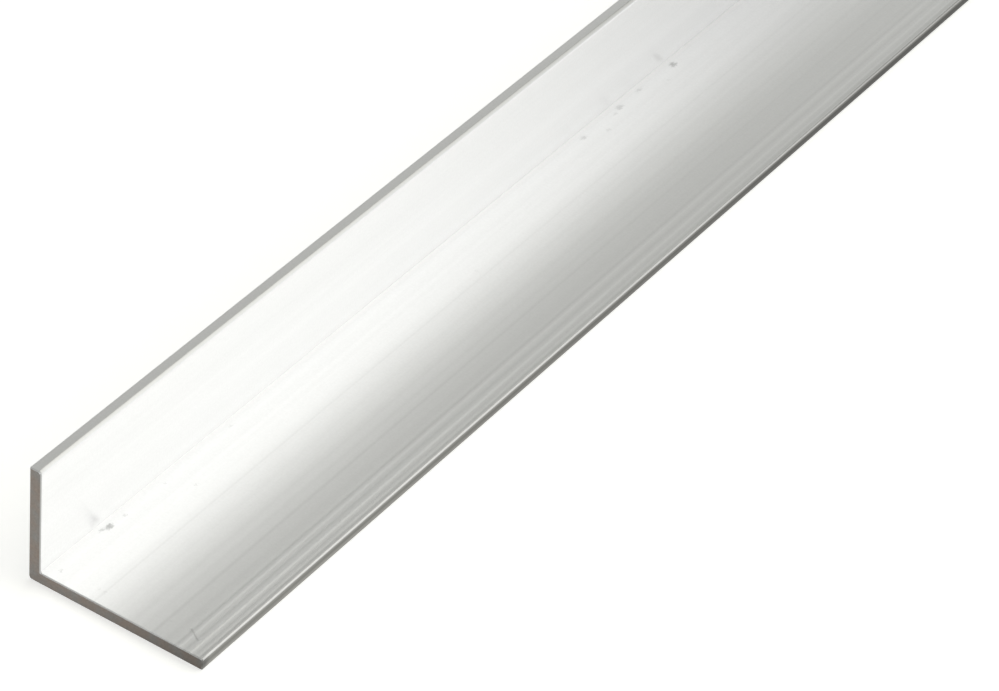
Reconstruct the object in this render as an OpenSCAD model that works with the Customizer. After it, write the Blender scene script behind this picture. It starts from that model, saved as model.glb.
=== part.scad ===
// Unequal-leg aluminium angle: one bar of L section, extruded in one piece and sawn to length.
// It lies on the outside of its long leg, with the short leg standing up along one side.
// The origin is under the middle of the bar: X across the long leg, Y along the bar, Z up.

/* [Section] */
// Outside width of the long leg
long_leg = 30; // [15:0.5:100]
// Outside height of the short leg
short_leg = 20; // [10:0.5:80]
// Thickness of both legs
thickness = 2; // [1.5:0.1:6]

/* [Corners] */
// Radius of the outside corner where the legs meet
heel_r = 0.6; // [0.1:0.05:1.4]
// Radius of the fillet inside that corner
root_r = 0.15; // [0.1:0.05:3]
// Radius of both edges along the tip of the long leg
long_tip_r = 0.25; // [0.1:0.05:0.7]
// Radius of the short leg's tip on the inside of the angle
short_tip_inner_r = 0.6; // [0.1:0.05:0.7]
// Radius of the short leg's tip on the outside of the angle
short_tip_outer_r = 0.1; // [0.1:0.05:0.7]

/* [Stock] */
// Length between the sawn ends
stock_length = 1000; // [100:10:6000]

/* [Hidden] */
$fn = 64;
// How far the waste at a corner reaches past the faces that it is cut from
overshoot = 0.5;
// Each outside corner of the section: its place, the turn of its waste and its radius
round_corners = [
    [[0, 0], 0, heel_r],
    [[long_leg, 0], 90, long_tip_r],
    [[long_leg, thickness], 180, long_tip_r],
    [[thickness, short_leg], 180, short_tip_inner_r],
    [[0, short_leg], 270, short_tip_outer_r],
];

// What comes off a square corner at the origin, with material towards +X and +Y, to round it.
module corner_waste(r) {
    difference() {
        translate([-overshoot, -overshoot]) square(r + overshoot);
        translate([r, r]) circle(r);
    }
}

// The open quadrant between the legs, with the root fillet left in its corner.
module inside_room() {
    translate([thickness, thickness]) difference() {
        square([long_leg, short_leg]);
        corner_waste(root_r);
    }
}

// The L section, with the heel at the origin, the long leg along X and the short leg along Y.
module section() {
    difference() {
        square([long_leg, short_leg]);
        inside_room();
        for (corner = round_corners)
            translate(corner[0]) rotate(corner[1]) corner_waste(corner[2]);
    }
}

module angle_profile() {
    color("#cbccc8")
        translate([-long_leg / 2, 0, 0])
            rotate([90, 0, 0])
                linear_extrude(height = stock_length, center = true)
                    section();
}

angle_profile();
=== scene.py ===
"""Looks of an unequal-leg aluminium angle: a bare extruded L section, sawn at both ends, on a pale floor."""

import math

import bmesh
import bpy
from mathutils import Matrix, Vector


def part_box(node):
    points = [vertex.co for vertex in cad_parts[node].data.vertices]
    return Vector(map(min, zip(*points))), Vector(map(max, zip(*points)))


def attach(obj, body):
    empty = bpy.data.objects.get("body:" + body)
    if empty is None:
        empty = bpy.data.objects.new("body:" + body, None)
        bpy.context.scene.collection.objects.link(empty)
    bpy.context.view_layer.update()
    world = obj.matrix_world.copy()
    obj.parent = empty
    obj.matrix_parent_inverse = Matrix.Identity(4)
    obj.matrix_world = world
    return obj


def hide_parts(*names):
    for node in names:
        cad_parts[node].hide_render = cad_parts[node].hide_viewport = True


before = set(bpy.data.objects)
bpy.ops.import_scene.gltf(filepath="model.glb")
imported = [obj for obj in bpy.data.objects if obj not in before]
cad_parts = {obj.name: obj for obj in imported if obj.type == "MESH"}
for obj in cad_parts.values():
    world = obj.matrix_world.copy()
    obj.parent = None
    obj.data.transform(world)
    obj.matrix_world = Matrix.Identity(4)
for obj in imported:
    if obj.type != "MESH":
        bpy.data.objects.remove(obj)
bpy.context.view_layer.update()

MM = 0.001
NODE = "angle_profile"
bar_low, bar_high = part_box(NODE)

# The section, as the extrusion die cut it
WALL = 2.0 * MM
HEEL_RADIUS = 0.6 * MM
ROOT_RADIUS = 0.15 * MM
LONG_TIP_RADIUS = 0.25 * MM
SHORT_TIP_INNER_RADIUS = 0.6 * MM
SHORT_TIP_OUTER_RADIUS = 0.1 * MM
ARC_STEPS = 12

# The sawn ends: the burr taken off with a file, and the strokes that the saw left, leaning from the upright
FILED_EDGE = 0.15 * MM
SAW_PITCH = 0.4 * MM
SAW_DEPTH = 0.014 * MM
SAW_LEAN = math.radians(28)
# A cut this far from each end keeps the shading of the filed edge off the long faces
END_STRETCH = 0.5 * MM

# Faces and edges count as being at one place, or as looking one way, within these limits
SAME_PLACE = 0.001 * MM
SAME_WAY = 0.9999
NEARLY_LEVEL = 0.99
CUT_TOLERANCE = 1e-8

# How far the roundings are dulled, which makes them rougher and darkens them with painted shade: 0 is bright
# mill finish, and 1 is the long leg's grey outer edge
DULLED_AND_SHADED = "dulled_and_shaded"
ROOT_DULLED_SHADED = 0.16
LOWER_TIP_DULLED_SHADED = 0.65
UPPER_TIP_SIDE_DULLED_SHADED = 0.43
UPPER_TIP_TOP_DULLED_SHADED = 0.51
SHORT_TIP_SIDE_DULLED_SHADED = 0.0
SHORT_TIP_TOP_DULLED_SHADED = 0.41
TIP_LINE_DULLED_SHADED = 0.12
OUTER_EDGE_DULLED_SHADED = 1.0
# The filed edge of an end is dulled and darkened with painted shade by the way it leans
FILED_LEAN = 0.4
FILED_TOP_DULLED_SHADED = 0.15
FILED_SIDE_DULLED_SHADED = 0.6
# A rounding turns from its side to its top between these upward shares of its normal
TURN_FROM = 0.25
TURN_TO = 0.75
# Further along the bar, the roundings are dulled more and get more painted shade
DULLED_SHADED_MORE = 1.4
DULLED_SHADED_MORE_FROM = 125 * MM
DULLED_SHADED_MORE_TO = 190 * MM

# Mill finish: its tones, how rough it is all over, and how much rougher where it is marked or dulled
MILL_DARK = "#e7e7e9"
MILL_PALE = "#f6f6f8"
POLISH = 0.282
MARK_ROUGHNESS = 0.4
DULLED_ROUGHNESS = 0.1
# The widest of the streaks along the bar, across, along and up, with their depth and how far they blur
STREAK_GRAIN = (1.3 * MM, 400 * MM, 4.0 * MM)
STREAK_DEPTH = 0.012 * MM
STREAK_BLUR = 0.88
# Mottling between the streaks, drawn twice as coarse as real so that it shows, and its share of their tone
MOTTLE_GRAIN = 0.35 * MM
MOTTLE = 0.7

# Painted shade darkens the long leg's inside near the root
ROOT_SHADE = 0.976
ROOT_SHADE_PLACE = 2.6 * MM
ROOT_SHADE_REACH = 0.9 * MM

# Handled aluminium in painted shade: its dark tones and the size of its rubbed patches, across, along and up
HANDLED_SHADE_DARK = "#6a6967"
HANDLED_SHADE_PALE = "#83827f"
HANDLED_GRAIN = (0.5 * MM, 15 * MM, 0.5 * MM)
# The outer edge's painted shade is paler towards the near end, at its foot and at its head, and darker at the
# saw cut
EDGE_NEAR = 1.12
EDGE_FAR = 0.32
EDGE_FADE_LENGTH = 195 * MM
EDGE_FOOT = 1.62
EDGE_FOOT_FROM = 1.1 * MM
EDGE_FOOT_TO = 0.4 * MM
# Its head gains less where the edge is pale already
EDGE_HEAD = 1.15
EDGE_HEAD_LOSS = 0.42
EDGE_HEAD_FROM = 1.15 * MM
EDGE_HEAD_TO = 1.75 * MM
EDGE_CUT = 0.6
EDGE_CUT_FROM = 1.6 * MM
EDGE_CUT_TO = 0.6 * MM

# Sawn metal: its tones, darkened by painted shade, bare and with cutting wax on it, and its roughness
SAWN_DARK = "#7c7a77"
SAWN_PALE = "#9b9895"
WAXED_DARK = "#817770"
WAXED_PALE = "#9f948c"
SAWN_ROUGHNESS = 0.55
# The fine tears that the teeth leave, and the patches of wax
TORN_GRAIN = 0.4 * MM
TORN_DEPTH = 0.02 * MM
WAX_GRAIN = 2.5 * MM
WAX_FROM = 0.35
WAX_TO = 0.65
# Painted shade makes the cut darker towards the long leg's tip, at first slowly
SAWN_HEEL = 0.92
SAWN_TIP = 0.57
SAWN_BEND = 1.6

# Lines that the die drew along the long leg's inside: place from the heel, half width and relief in mm, and
# painted tone, shade below 0 and highlight above
DIE_LINES = [
    (11.33, 0.28, -0.006, -0.06),
    (17.80, 0.70, -0.008, -0.03),
    (21.35, 0.50, -0.008, -0.08),
    (23.90, 0.98, -0.004, -0.065),
    (25.30, 0.40, -0.008, -0.125),
    (25.97, 0.26, 0.006, 0.11),
    (26.87, 0.62, -0.008, -0.115),
    (27.83, 0.33, 0.008, 0.17),
    (28.58, 0.42, -0.006, -0.11),
    (29.36, 0.35, -0.012, -0.17),
]
# The lines keep this share of their painted tone from this distance on
DIE_LINE_FADE = 0.35
DIE_LINE_FADE_LENGTH = 140 * MM

# Specks on the long leg's inside: place from the heel and from the near end, half sizes in mm, darkness
SPECKS = [
    (3.90, 2.25, 0.25, 0.30, 0.20),
    (10.35, 2.45, 0.22, 0.35, 0.08),
    (11.28, 2.45, 0.30, 0.40, 0.09),
    (21.88, 3.45, 0.20, 0.25, 0.08),
    (3.00, 12.5, 0.28, 0.55, 0.25),
    (3.85, 13.1, 0.25, 0.40, 0.22),
    (3.30, 13.7, 0.50, 0.75, 0.38),
    (3.48, 16.9, 0.30, 0.40, 0.20),
    (3.70, 25.9, 0.22, 0.28, 0.11),
    (7.25, 28.4, 0.22, 0.28, 0.15),
    (3.27, 41.9, 0.28, 0.40, 0.11),
    (9.80, 94.2, 0.22, 0.36, 0.08),
    (3.48, 132.9, 0.45, 0.75, 0.20),
    (5.33, 137.2, 0.32, 0.50, 0.12),
    (3.70, 141.5, 0.30, 0.45, 0.12),
    (3.35, 143.4, 0.55, 0.95, 0.20),
    (3.17, 149.4, 0.35, 1.00, 0.16),
    (5.25, 154.7, 0.22, 0.30, 0.08),
    (3.55, 158.8, 0.60, 0.85, 0.36),
]
# A speck fades out between these shares of its half size
SPECK_CORE = 0.2
SPECK_RIM = 1.3
SPECK_HALF_DEPTH = 0.5 * WALL
# Its outline is ragged: the size of the nicks, and twice how far they reach, across, along and up
RAGGED_GRAIN = 0.35 * MM
RAGGED_REACH = (1.0 * MM, 1.4 * MM, 0.0)

# Scratches near the long leg's tip: both ends from the heel and from the near end, half width in mm, darkness
SCRATCHES = [
    ((25.15, 3.95), (27.15, 2.72), 0.36, 0.43),
    ((27.20, 2.72), (27.55, 3.50), 0.32, 0.20),
    ((24.30, 8.45), (24.60, 7.80), 0.28, 0.13),
]

# The photograph's camera, found from the bar's straight edges
CAMERA_PLACE = (0.28696, -0.87856, 0.43049)
CAMERA_AZIMUTH = math.radians(31.250)
CAMERA_ELEVATION = math.radians(38.518)
CAMERA_ROLL = math.radians(5.137)
CAMERA_LENS = 168.42
SENSOR_WIDTH = 36.0
CLIP_START = 0.01
CLIP_END = 100.0

# The studio: one softbox behind the bar on its right, in a grey room, dark on the left and pale low down
SOFTBOX_AIM = Vector((0.0, -0.42, 0.0))
SOFTBOX_DIRECTION = Vector((0.438, 0.412, 0.799))
SOFTBOX_DISTANCE = 2.5
SOFTBOX_ACROSS = 3.78
SOFTBOX_ALONG = 2.145
SOFTBOX_COLOUR = "#fffff8"
SOFTBOX_RADIANCE = 0.91
ROOM_GREY = "#c5c6bf"
ROOM_DARK = "#4b4b48"
GREY_RIGHT_OF = -0.316
DARK_LEFT_OF = -0.522
ROOM_PALE = "#ffffff"
PALE_BELOW = 0.25
GREY_ABOVE = 0.58
PAPER = "#efefee"
PAPER_LIFTED = "#ffffff"
PAPER_ROUGHNESS = 0.9
FLOOR_HALF = 20.0
FLOOR_GAP = 0.02 * MM
FLOOR_LIFT = 0.46

# A Mix node's sockets for two colours and for their blend
MIX_A = 6
MIX_B = 7
MIX_RESULT = 2


def colour(text):
    """An sRGB hex colour as linear red, green, blue and alpha."""
    shares = [int(text[i:i + 2], 16) / 255 for i in (1, 3, 5)]
    return [s / 12.92 if s <= 0.04045 else ((s + 0.055) / 1.055) ** 2.4 for s in shares] + [1.0]


def add(tree, kind, inputs, **settings):
    """Add a node with these settings, and fill its inputs with values or links."""
    node = tree.nodes.new(kind)
    for name, value in settings.items():
        setattr(node, name, value)
    for socket, value in inputs.items():
        if isinstance(value, bpy.types.NodeSocket):
            tree.links.new(value, node.inputs[socket])
        else:
            node.inputs[socket].default_value = value
    return node


def new_material(name):
    """An empty node material and its tree."""
    material = bpy.data.materials.new(name)
    material.use_nodes = True
    material.node_tree.nodes.clear()
    return material, material.node_tree


def on_long_leg(across, along):
    """A point on the long leg's inside, given in mm from the heel and from the near end."""
    return bar_low + Vector((across * MM, along * MM, WALL))


def die_line_painted_light(tree, place):
    """The painted shade and highlights of the die's lines: under 1 along a groove, over 1 along a ridge."""
    axes = add(tree, "ShaderNodeSeparateXYZ", {0: place}).outputs
    share = add(tree, "ShaderNodeMapRange",
                {"Value": axes["X"], "From Min": bar_low.x, "From Max": bar_high.x}).outputs["Result"]
    ramp = add(tree, "ShaderNodeValToRGB", {0: share})
    ramp.color_ramp.interpolation = "EASE"
    middle = 0.5
    stops = ramp.color_ramp.elements
    for stop in stops:
        stop.color = (middle, middle, middle, 1.0)
    width = (bar_high.x - bar_low.x) / MM
    # A ramp holds 32 stops, which is room for ten lines
    for line, half, _, tone in DIE_LINES:
        for offset, shift in ((-half, 0.0), (0.0, tone), (half, 0.0)):
            grey = middle + shift
            stops.new((line + offset) / width).color = (grey, grey, grey, 1.0)
    change = add(tree, "ShaderNodeMath", {0: ramp.outputs["Color"], 1: middle},
                 operation="SUBTRACT").outputs[0]
    fade = add(tree, "ShaderNodeMapRange",
               {"Value": axes["Y"], "From Min": bar_low.y, "From Max": bar_low.y + DIE_LINE_FADE_LENGTH,
                "To Min": 1.0, "To Max": DIE_LINE_FADE}).outputs["Result"]
    return add(tree, "ShaderNodeMath", {0: change, 1: fade, 2: 1.0}, operation="MULTIPLY_ADD").outputs[0]


def speck_mask(tree, place):
    """How dark the specks of the long leg's inside are, and 0 elsewhere."""
    ragged = add(tree, "ShaderNodeTexNoise", {"Vector": place, "Scale": 1 / RAGGED_GRAIN}).outputs["Color"]
    middle = (0.5, 0.5, 0.5)
    jitter = add(tree, "ShaderNodeVectorMath", {0: ragged, 1: middle}, operation="SUBTRACT").outputs[0]
    shifted = add(tree, "ShaderNodeVectorMath", {0: jitter, 1: RAGGED_REACH, 2: place},
                  operation="MULTIPLY_ADD").outputs[0]
    mask = 0.0
    for across, along, half_across, half_along, darkness in SPECKS:
        centre = on_long_leg(across, along)
        halves = (half_across * MM, half_along * MM, SPECK_HALF_DEPTH)
        offset = add(tree, "ShaderNodeVectorMath", {0: shifted, 1: centre}, operation="SUBTRACT").outputs[0]
        shares = add(tree, "ShaderNodeVectorMath", {0: offset, 1: halves}, operation="DIVIDE").outputs[0]
        reach = add(tree, "ShaderNodeVectorMath", {0: shares}, operation="LENGTH").outputs["Value"]
        spot = add(tree, "ShaderNodeMapRange",
                   {"Value": reach, "From Min": SPECK_RIM, "From Max": SPECK_CORE, "To Max": darkness},
                   interpolation_type="SMOOTHSTEP").outputs["Result"]
        mask = add(tree, "ShaderNodeMath", {0: mask, 1: spot}, operation="MAXIMUM").outputs[0]
    return mask


def scratch_mask(tree, place):
    """How dark the scratches of the long leg's inside are, and 0 elsewhere."""
    mask = 0.0
    for start, stop, half_width, darkness in SCRATCHES:
        first = on_long_leg(*start)
        run = on_long_leg(*stop) - first
        offset = add(tree, "ShaderNodeVectorMath", {0: place, 1: first}, operation="SUBTRACT").outputs[0]
        share = add(tree, "ShaderNodeVectorMath", {0: offset, 1: run / run.length_squared},
                    operation="DOT_PRODUCT").outputs["Value"]
        within = add(tree, "ShaderNodeClamp", {"Value": share}).outputs[0]
        nearest = add(tree, "ShaderNodeVectorMath", {0: run, "Scale": within}, operation="SCALE").outputs[0]
        aside = add(tree, "ShaderNodeVectorMath", {0: offset, 1: nearest},
                    operation="DISTANCE").outputs["Value"]
        line = add(tree, "ShaderNodeMapRange",
                   {"Value": aside, "From Min": half_width * MM, "From Max": 0.0, "To Max": darkness},
                   interpolation_type="SMOOTHSTEP").outputs["Result"]
        mask = add(tree, "ShaderNodeMath", {0: mask, 1: line}, operation="MAXIMUM").outputs[0]
    return mask


def root_shade_level(tree, place):
    """The brightness of the faces near the root, darkened there by painted shade."""
    root = Vector((bar_low.x + ROOT_SHADE_PLACE, 0.0, bar_low.z + WALL))
    offset = add(tree, "ShaderNodeVectorMath", {0: place, 1: root}, operation="SUBTRACT").outputs[0]
    aside = add(tree, "ShaderNodeVectorMath", {0: offset, 1: (1.0, 0.0, 1.0)},
                operation="MULTIPLY").outputs[0]
    reach = add(tree, "ShaderNodeVectorMath", {0: aside}, operation="LENGTH").outputs["Value"]
    return add(tree, "ShaderNodeMapRange",
               {"Value": reach, "From Max": ROOT_SHADE_REACH, "To Min": ROOT_SHADE},
               interpolation_type="SMOOTHSTEP").outputs["Result"]


def outer_edge_painted_light(tree, place):
    """How pale the painted shade of the long leg's outer edge is, along the bar, from foot to head and at the
    cuts.
    """
    axes = add(tree, "ShaderNodeSeparateXYZ", {0: place}).outputs
    along = add(tree, "ShaderNodeMapRange",
                {"Value": axes["Y"], "From Min": bar_low.y, "From Max": bar_low.y + EDGE_FADE_LENGTH,
                 "To Min": EDGE_NEAR, "To Max": EDGE_FAR}, interpolation_type="SMOOTHSTEP").outputs["Result"]
    foot = add(tree, "ShaderNodeMapRange",
               {"Value": axes["Z"], "From Min": bar_low.z + EDGE_FOOT_TO,
                "From Max": bar_low.z + EDGE_FOOT_FROM, "To Min": EDGE_FOOT, "To Max": 1.0}).outputs["Result"]
    gain = add(tree, "ShaderNodeMath", {0: along, 1: -EDGE_HEAD_LOSS, 2: EDGE_HEAD},
               operation="MULTIPLY_ADD").outputs[0]
    head = add(tree, "ShaderNodeMapRange",
               {"Value": axes["Z"], "From Min": bar_low.z + EDGE_HEAD_FROM,
                "From Max": bar_low.z + EDGE_HEAD_TO, "To Max": gain}).outputs["Result"]
    edge = add(tree, "ShaderNodeMath", {0: along, 1: foot, 2: head}, operation="MULTIPLY_ADD").outputs[0]
    from_middle = add(tree, "ShaderNodeMath", {0: axes["Y"]}, operation="ABSOLUTE").outputs[0]
    cut = add(tree, "ShaderNodeMapRange",
              {"Value": from_middle, "From Min": bar_high.y - EDGE_CUT_FROM,
               "From Max": bar_high.y - EDGE_CUT_TO, "To Min": 1.0, "To Max": EDGE_CUT}).outputs["Result"]
    return add(tree, "ShaderNodeMath", {0: edge, 1: cut}, operation="MULTIPLY").outputs[0]


def handled_shade_tone(tree, place):
    """The dark grey of painted shade with rubbed patches, as on the long leg's outer edge."""
    grains = add(tree, "ShaderNodeVectorMath", {0: place, 1: HANDLED_GRAIN}, operation="DIVIDE").outputs[0]
    rub = add(tree, "ShaderNodeTexNoise", {"Vector": grains, "Scale": 1.0, "Detail": 3.0}).outputs["Fac"]
    grey = add(tree, "ShaderNodeMix",
               {"Factor": rub, MIX_A: colour(HANDLED_SHADE_DARK), MIX_B: colour(HANDLED_SHADE_PALE)},
               data_type="RGBA").outputs[MIX_RESULT]
    level = outer_edge_painted_light(tree, place)
    return add(tree, "ShaderNodeVectorMath", {0: grey, "Scale": level}, operation="SCALE").outputs[0]


def dulled_and_shaded_share(tree, place):
    """How far each face is dulled and darkened with painted shade, which grows further along the bar."""
    mark = add(tree, "ShaderNodeAttribute", {}, attribute_name=DULLED_AND_SHADED).outputs["Fac"]
    along = add(tree, "ShaderNodeSeparateXYZ", {0: place}).outputs["Y"]
    more = add(tree, "ShaderNodeMapRange",
               {"Value": along, "From Min": bar_low.y + DULLED_SHADED_MORE_FROM,
                "From Max": bar_low.y + DULLED_SHADED_MORE_TO,
                "To Min": 1.0, "To Max": DULLED_SHADED_MORE}).outputs["Result"]
    return add(tree, "ShaderNodeMath", {0: mark, 1: more}, operation="MULTIPLY", use_clamp=True).outputs[0]


def mill_tone(tree, place, streak, marks):
    """The bright tone of the mill finish: streaked and mottled, with painted shade and highlights along the
    die's lines and painted shade near the root, and dark at its marks.
    """
    mottle = add(tree, "ShaderNodeTexNoise", {"Vector": place, "Scale": 1 / MOTTLE_GRAIN}).outputs["Fac"]
    change = add(tree, "ShaderNodeMapRange",
                 {"Value": mottle, "To Min": -0.5 * MOTTLE, "To Max": 0.5 * MOTTLE}).outputs["Result"]
    uneven = add(tree, "ShaderNodeMath", {0: streak, 1: change}, operation="ADD").outputs[0]
    bright = add(tree, "ShaderNodeMix",
                 {"Factor": uneven, MIX_A: colour(MILL_DARK), MIX_B: colour(MILL_PALE)},
                 data_type="RGBA").outputs[MIX_RESULT]
    clean = add(tree, "ShaderNodeMath", {0: 1.0, 1: marks}, operation="SUBTRACT").outputs[0]
    shaded = add(tree, "ShaderNodeMath", {0: root_shade_level(tree, place), 1: clean},
                 operation="MULTIPLY").outputs[0]
    level = add(tree, "ShaderNodeMath", {0: die_line_painted_light(tree, place), 1: shaded},
                operation="MULTIPLY").outputs[0]
    return add(tree, "ShaderNodeVectorMath", {0: bright, "Scale": level}, operation="SCALE").outputs[0]


def mill_finish_aluminium():
    """Bare extruded aluminium: a soft mirror, blurred across the fine lines that the die drew along it."""
    material, tree = new_material("mill_finish_aluminium")
    place = add(tree, "ShaderNodeTexCoord", {}).outputs["Object"]
    grains = add(tree, "ShaderNodeVectorMath", {0: place, 1: STREAK_GRAIN}, operation="DIVIDE").outputs[0]
    streak = add(tree, "ShaderNodeTexNoise",
                 {"Vector": grains, "Scale": 1.0, "Detail": 4.0, "Roughness": 0.65}).outputs["Fac"]
    marks = add(tree, "ShaderNodeMath", {0: speck_mask(tree, place), 1: scratch_mask(tree, place)},
                operation="MAXIMUM").outputs[0]
    bright = mill_tone(tree, place, streak, marks)
    dulled_and_shaded = dulled_and_shaded_share(tree, place)
    # Painted shade: where a face is dulled, the bright tone gives way to the dark grey
    tone = add(tree, "ShaderNodeMix", {"Factor": dulled_and_shaded, MIX_A: bright, MIX_B: handled_shade_tone(tree, place)},
               data_type="RGBA").outputs[MIX_RESULT]
    marked = add(tree, "ShaderNodeMath", {0: marks, 1: MARK_ROUGHNESS, 2: POLISH},
                 operation="MULTIPLY_ADD").outputs[0]
    roughness = add(tree, "ShaderNodeMath", {0: dulled_and_shaded, 1: DULLED_ROUGHNESS, 2: marked},
                    operation="MULTIPLY_ADD").outputs[0]
    bump = add(tree, "ShaderNodeBump",
               {"Height": streak, "Strength": 1.0, "Distance": STREAK_DEPTH}).outputs["Normal"]
    normal = add(tree, "ShaderNodeNewGeometry", {}).outputs["Normal"]
    across = add(tree, "ShaderNodeVectorMath", {0: normal, 1: (0.0, 1.0, 0.0)},
                 operation="CROSS_PRODUCT").outputs[0]
    metal = add(tree, "ShaderNodeBsdfPrincipled",
                {"Base Color": tone, "Metallic": 1.0, "Roughness": roughness, "Anisotropic": STREAK_BLUR,
                 "Tangent": across, "Normal": bump})
    add(tree, "ShaderNodeOutputMaterial", {"Surface": metal.outputs[0]})
    return material


def sawn_aluminium():
    """Aluminium as the saw leaves it: torn fine and dull, darkened by painted shade, with a brown cast from
    the cutting wax.
    """
    material, tree = new_material("sawn_aluminium")
    place = add(tree, "ShaderNodeTexCoord", {}).outputs["Object"]
    torn = add(tree, "ShaderNodeTexNoise",
               {"Vector": place, "Scale": 1 / TORN_GRAIN, "Detail": 3.0}).outputs["Fac"]
    wax = add(tree, "ShaderNodeTexNoise", {"Vector": place, "Scale": 1 / WAX_GRAIN}).outputs["Fac"]
    grey = add(tree, "ShaderNodeMix",
               {"Factor": torn, MIX_A: colour(SAWN_DARK), MIX_B: colour(SAWN_PALE)},
               data_type="RGBA").outputs[MIX_RESULT]
    brown = add(tree, "ShaderNodeMix",
                {"Factor": torn, MIX_A: colour(WAXED_DARK), MIX_B: colour(WAXED_PALE)},
                data_type="RGBA").outputs[MIX_RESULT]
    waxed = add(tree, "ShaderNodeMapRange",
                {"Value": wax, "From Min": WAX_FROM, "From Max": WAX_TO}).outputs["Result"]
    tone = add(tree, "ShaderNodeMix", {"Factor": waxed, MIX_A: grey, MIX_B: brown},
               data_type="RGBA").outputs[MIX_RESULT]
    # Painted shade: darker towards the long leg's tip
    across = add(tree, "ShaderNodeSeparateXYZ", {0: place}).outputs["X"]
    share = add(tree, "ShaderNodeMapRange",
                {"Value": across, "From Min": bar_low.x, "From Max": bar_high.x}).outputs["Result"]
    darker = add(tree, "ShaderNodeMath", {0: share, 1: SAWN_BEND}, operation="POWER").outputs[0]
    level = add(tree, "ShaderNodeMath", {0: darker, 1: SAWN_TIP - SAWN_HEEL, 2: SAWN_HEEL},
                operation="MULTIPLY_ADD").outputs[0]
    shade = add(tree, "ShaderNodeVectorMath", {0: tone, "Scale": level}, operation="SCALE").outputs[0]
    bump = add(tree, "ShaderNodeBump",
               {"Height": torn, "Strength": 0.5, "Distance": TORN_DEPTH}).outputs["Normal"]
    metal = add(tree, "ShaderNodeBsdfPrincipled",
                {"Base Color": shade, "Metallic": 1.0, "Roughness": SAWN_ROUGHNESS, "Normal": bump})
    add(tree, "ShaderNodeOutputMaterial", {"Surface": metal.outputs[0]})
    return material


def studio_floor_paper():
    """Matt white paper, lifted to white where it is seen or mirrored, which keeps the bar's shadow."""
    material, tree = new_material("studio_floor_paper")
    rays = add(tree, "ShaderNodeLightPath", {}).outputs
    seen = add(tree, "ShaderNodeMath", {0: rays["Is Camera Ray"], 1: rays["Is Glossy Ray"]},
               operation="MAXIMUM").outputs[0]
    shown = add(tree, "ShaderNodeMath", {0: seen, 1: rays["Is Transmission Ray"]},
                operation="MAXIMUM").outputs[0]
    lift = add(tree, "ShaderNodeMath", {0: shown, 1: FLOOR_LIFT}, operation="MULTIPLY").outputs[0]
    paper = add(tree, "ShaderNodeBsdfPrincipled",
                {"Base Color": colour(PAPER), "Roughness": PAPER_ROUGHNESS, "Specular IOR Level": 0.0,
                 "Emission Color": colour(PAPER_LIFTED), "Emission Strength": lift})
    add(tree, "ShaderNodeOutputMaterial", {"Surface": paper.outputs[0]})
    return material


def long_edges_at(bm, across, up):
    """The edges that run along the bar at this place in its section."""
    return [e for e in bm.edges
            if all(abs(v.co.x - across) < SAME_PLACE and abs(v.co.z - up) < SAME_PLACE for v in e.verts)]


def round_edge(bm, across, up, radius, side_dulled_shaded, top_dulled_shaded):
    """Round one long edge of the section, and mark how far it is dulled and darkened with painted shade at
    its side and at its top.
    """
    made = bmesh.ops.bevel(bm, geom=long_edges_at(bm, across, up), offset=radius, offset_type="OFFSET",
                           segments=ARC_STEPS, profile=0.5, affect="EDGES", material=-1)
    bm.normal_update()
    dulled_and_shaded = bm.faces.layers.float[DULLED_AND_SHADED]
    for face in made["faces"]:
        face.smooth = True
        # Painted shade: the share changes with the way the face looks, from the rounding's side to its top
        turned = min(1.0, max(0.0, (face.normal.z - TURN_FROM) / (TURN_TO - TURN_FROM)))
        share = turned * turned * (3 - 2 * turned)
        face[dulled_and_shaded] = side_dulled_shaded + (top_dulled_shaded - side_dulled_shaded) * share


def faces_facing(bm, normal, level):
    """The faces that look along a normal at this distance from the origin."""
    bm.normal_update()
    return [f for f in bm.faces
            if f.normal.dot(normal) > SAME_WAY
            and abs(f.calc_center_median().dot(normal) - level) < SAME_PLACE]


def cut_faces(bm, faces, point, normal):
    """Cut these faces by a plane, and return the new points on it."""
    geom = set(faces)
    for face in faces:
        geom.update(face.edges)
        geom.update(face.verts)
    made = bmesh.ops.bisect_plane(bm, geom=list(geom), dist=CUT_TOLERANCE, plane_co=point, plane_no=normal)
    return [item for item in made["geom_cut"] if isinstance(item, bmesh.types.BMVert)]


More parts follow.
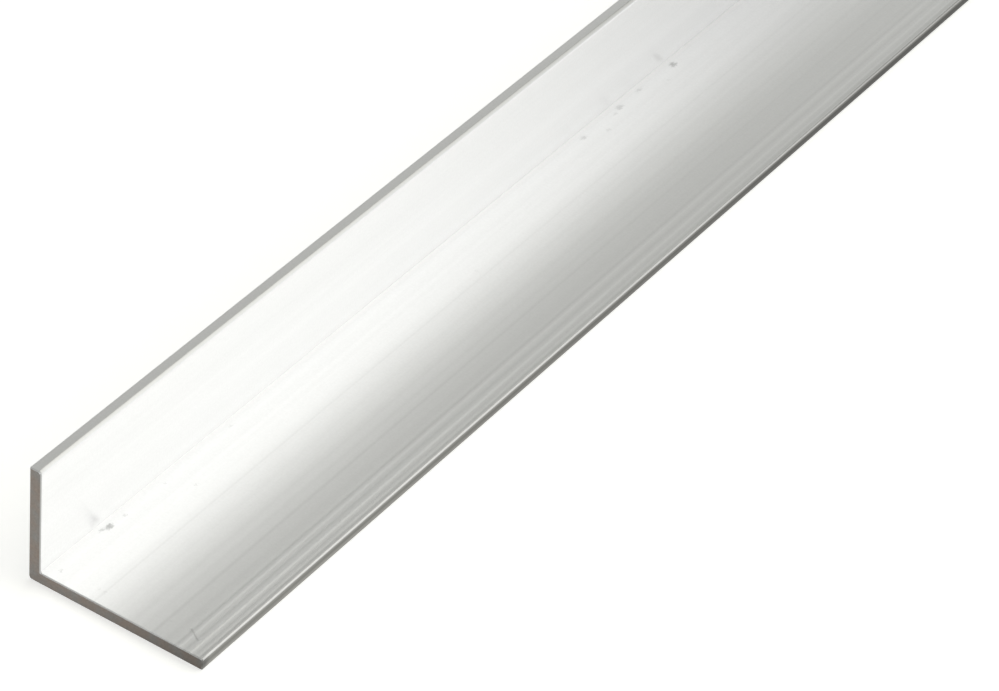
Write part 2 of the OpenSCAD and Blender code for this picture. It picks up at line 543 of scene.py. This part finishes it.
def draw_section(bm):
    """Draw the L section out along the bar, round its long edges, and mark how far they are dulled and
    darkened with painted shade.
    """
    inner_x = bar_low.x + WALL
    inner_z = bar_low.z + WALL
    corners = [
        (bar_low.x, bar_low.z, HEEL_RADIUS, 0.0, 0.0),
        (bar_high.x, bar_low.z, LONG_TIP_RADIUS, LOWER_TIP_DULLED_SHADED, LOWER_TIP_DULLED_SHADED),
        (bar_high.x, inner_z, LONG_TIP_RADIUS, UPPER_TIP_SIDE_DULLED_SHADED, UPPER_TIP_TOP_DULLED_SHADED),
        (inner_x, inner_z, ROOT_RADIUS, ROOT_DULLED_SHADED, ROOT_DULLED_SHADED),
        (inner_x, bar_high.z, SHORT_TIP_INNER_RADIUS, SHORT_TIP_SIDE_DULLED_SHADED, SHORT_TIP_TOP_DULLED_SHADED),
        (bar_low.x, bar_high.z, SHORT_TIP_OUTER_RADIUS, 0.0, 0.0),
    ]
    near_end = bar_low.y + FILED_EDGE
    section = bm.faces.new([bm.verts.new((corner[0], near_end, corner[1])) for corner in corners])
    drawn = bmesh.ops.extrude_face_region(bm, geom=[section])
    far_points = [item for item in drawn["geom"] if isinstance(item, bmesh.types.BMVert)]
    length = bar_high.y - bar_low.y - 2 * FILED_EDGE
    bmesh.ops.translate(bm, verts=far_points, vec=(0, length, 0))
    bmesh.ops.recalc_face_normals(bm, faces=bm.faces)
    for corner in corners:
        round_edge(bm, *corner)
    for face in faces_facing(bm, Vector((1, 0, 0)), bar_high.x):
        face[bm.faces.layers.float[DULLED_AND_SHADED]] = OUTER_EDGE_DULLED_SHADED


def file_ends(bm):
    """Add the filed edge round both ends, and mark how far it is dulled and darkened with painted shade on
    each side.
    """
    ends = [f for f in bm.faces if abs(f.normal.y) > SAME_WAY]
    filed = bmesh.ops.inset_region(bm, faces=ends, thickness=FILED_EDGE, depth=FILED_EDGE,
                                   use_even_offset=True)
    bm.normal_update()
    dulled_and_shaded = bm.faces.layers.float[DULLED_AND_SHADED]
    for face in filed["faces"]:
        face.smooth = False
        # Painted shade: each face of the filed edge gets its share by the way it leans
        if face.normal.x > FILED_LEAN and face.calc_center_median().x > 0:
            face[dulled_and_shaded] = OUTER_EDGE_DULLED_SHADED
        elif face.normal.z > FILED_LEAN:
            face[dulled_and_shaded] = FILED_TOP_DULLED_SHADED
        else:
            face[dulled_and_shaded] = FILED_SIDE_DULLED_SHADED
    for end in (bar_low.y + END_STRETCH, bar_high.y - END_STRETCH):
        cut_faces(bm, list(bm.faces), Vector((0, end, 0)), Vector((0, 1, 0)))


def saw_depth(stroke):
    """How far below the end a saw stroke lies, which differs from each stroke to the next."""
    return SAW_DEPTH * (0.5 + 0.5 * math.sin(stroke * stroke))


def saw_end(bm, end):
    """Cut the saw's leaning strokes into the end at this Y, none of them proud of it."""
    outward = Vector((0, math.copysign(1, end), 0))
    for face in faces_facing(bm, outward, abs(end)):
        face.material_index = 1
    across = Vector((math.cos(SAW_LEAN), 0, -math.sin(SAW_LEAN)))
    reach = [Vector((x, 0, z)).dot(across) for x in (bar_low.x, bar_high.x) for z in (bar_low.z, bar_high.z)]
    for stroke in range(math.ceil(min(reach) / SAW_PITCH), math.ceil(max(reach) / SAW_PITCH)):
        cut_faces(bm, faces_facing(bm, outward, abs(end)), across * (stroke * SAW_PITCH), across)
    for vert in {v for face in faces_facing(bm, outward, abs(end)) for v in face.verts}:
        place = vert.co.dot(across) / SAW_PITCH
        stroke = math.floor(place)
        share = place - stroke
        vert.co -= outward * ((1 - share) * saw_depth(stroke) + share * saw_depth(stroke + 1))


def draw_die_lines(bm):
    """Draw the die's shallow grooves and ridges along the long leg's inside."""
    up = Vector((0, 0, 1))
    for line, half, relief, _ in DIE_LINES:
        for offset in (-half, half, 0.0):
            inside = faces_facing(bm, up, bar_low.z + WALL)
            crest = cut_faces(bm, inside, on_long_leg(line + offset, 0), Vector((1, 0, 0)))
        for vert in crest:
            vert.co.z += relief * MM


def dull_and_shade_tip_line(bm):
    """Dull the strip from the last die line to the rounding of the long leg's tip, and darken it with painted
    shade.
    """
    dulled_and_shaded = bm.faces.layers.float[DULLED_AND_SHADED]
    line, half, _, _ = DIE_LINES[-1]
    start = on_long_leg(line - half, 0).x
    for face in bm.faces:
        if face.normal.z > NEARLY_LEVEL and face.calc_center_median().x > start and face[dulled_and_shaded] == 0:
            face[dulled_and_shaded] = TIP_LINE_DULLED_SHADED


def angle_bar():
    """The bar as one mesh: the L section drawn out, rounded, filed and sawn at its ends, lined by the die."""
    bm = bmesh.new()
    bm.faces.layers.float.new(DULLED_AND_SHADED)
    draw_section(bm)
    file_ends(bm)
    for end in (bar_low.y, bar_high.y):
        saw_end(bm, end)
    draw_die_lines(bm)
    dull_and_shade_tip_line(bm)
    mesh = bpy.data.meshes.new("aluminium_angle")
    bm.to_mesh(mesh)
    bm.free()
    for material in (mill_finish_aluminium(), sawn_aluminium()):
        mesh.materials.append(material)
    bar = bpy.data.objects.new("aluminium_angle", mesh)
    bpy.context.scene.collection.objects.link(bar)
    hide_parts(NODE)
    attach(bar, "root")


def floor():
    """A plain pale floor just under the bar."""
    bm = bmesh.new()
    bmesh.ops.create_grid(bm, x_segments=1, y_segments=1, size=FLOOR_HALF)
    bmesh.ops.translate(bm, verts=bm.verts, vec=(0, 0, bar_low.z - FLOOR_GAP))
    mesh = bpy.data.meshes.new("studio_floor")
    bm.to_mesh(mesh)
    bm.free()
    mesh.materials.append(studio_floor_paper())
    sheet = bpy.data.objects.new("studio_floor", mesh)
    bpy.context.scene.collection.objects.link(sheet)


def softbox():
    """One large soft lamp, whose far edge the bright faces lose along the bar."""
    lamp = bpy.data.lights.new("softbox", "AREA")
    lamp.shape = "RECTANGLE"
    lamp.size = SOFTBOX_ACROSS
    lamp.size_y = SOFTBOX_ALONG
    lamp.color = colour(SOFTBOX_COLOUR)[:3]
    lamp.energy = SOFTBOX_RADIANCE * math.pi * SOFTBOX_ACROSS * SOFTBOX_ALONG
    box = bpy.data.objects.new("softbox", lamp)
    back = SOFTBOX_DIRECTION.normalized()
    along = Vector((0, 1, 0))
    along = (along - along.dot(back) * back).normalized()
    across = along.cross(back)
    turn = Matrix((across, along, back)).transposed().to_4x4()
    box.matrix_world = Matrix.Translation(SOFTBOX_AIM + back * SOFTBOX_DISTANCE) @ turn
    bpy.context.scene.collection.objects.link(box)


def room():
    """The grey room round the bar, dark on the left and pale near the floor."""
    world = bpy.data.worlds.new("studio_room")
    world.use_nodes = True
    tree = world.node_tree
    tree.nodes.clear()
    direction = add(tree, "ShaderNodeTexCoord", {}).outputs["Generated"]
    axes = add(tree, "ShaderNodeSeparateXYZ", {0: direction}).outputs
    right = add(tree, "ShaderNodeMapRange",
                {"Value": axes["X"], "From Min": DARK_LEFT_OF, "From Max": GREY_RIGHT_OF},
                interpolation_type="SMOOTHSTEP").outputs["Result"]
    high = add(tree, "ShaderNodeMapRange",
               {"Value": axes["Z"], "From Min": PALE_BELOW, "From Max": GREY_ABOVE},
               interpolation_type="SMOOTHSTEP").outputs["Result"]
    walls = add(tree, "ShaderNodeMix",
                {"Factor": right, MIX_A: colour(ROOM_DARK), MIX_B: colour(ROOM_GREY)},
                data_type="RGBA").outputs[MIX_RESULT]
    seen = add(tree, "ShaderNodeMix", {"Factor": high, MIX_A: colour(ROOM_PALE), MIX_B: walls},
               data_type="RGBA").outputs[MIX_RESULT]
    light = add(tree, "ShaderNodeBackground", {"Color": seen})
    add(tree, "ShaderNodeOutputWorld", {"Surface": light.outputs[0]})
    bpy.context.scene.world = world


def camera():
    """The camera of the photograph."""
    lens = bpy.data.cameras.new("camera")
    lens.sensor_width = SENSOR_WIDTH
    lens.lens = CAMERA_LENS
    lens.clip_start = CLIP_START
    lens.clip_end = CLIP_END
    eye = bpy.data.objects.new("camera", lens)
    swing = Matrix.Rotation(CAMERA_AZIMUTH, 4, "Z")
    tilt = Matrix.Rotation(math.pi / 2 - CAMERA_ELEVATION, 4, "X")
    roll = Matrix.Rotation(CAMERA_ROLL, 4, "Z")
    eye.matrix_world = Matrix.Translation(CAMERA_PLACE) @ swing @ tilt @ roll
    bpy.context.scene.collection.objects.link(eye)
    bpy.context.scene.camera = eye


bpy.context.scene.view_settings.view_transform = "Standard"
camera()
angle_bar()
floor()
softbox()
room()
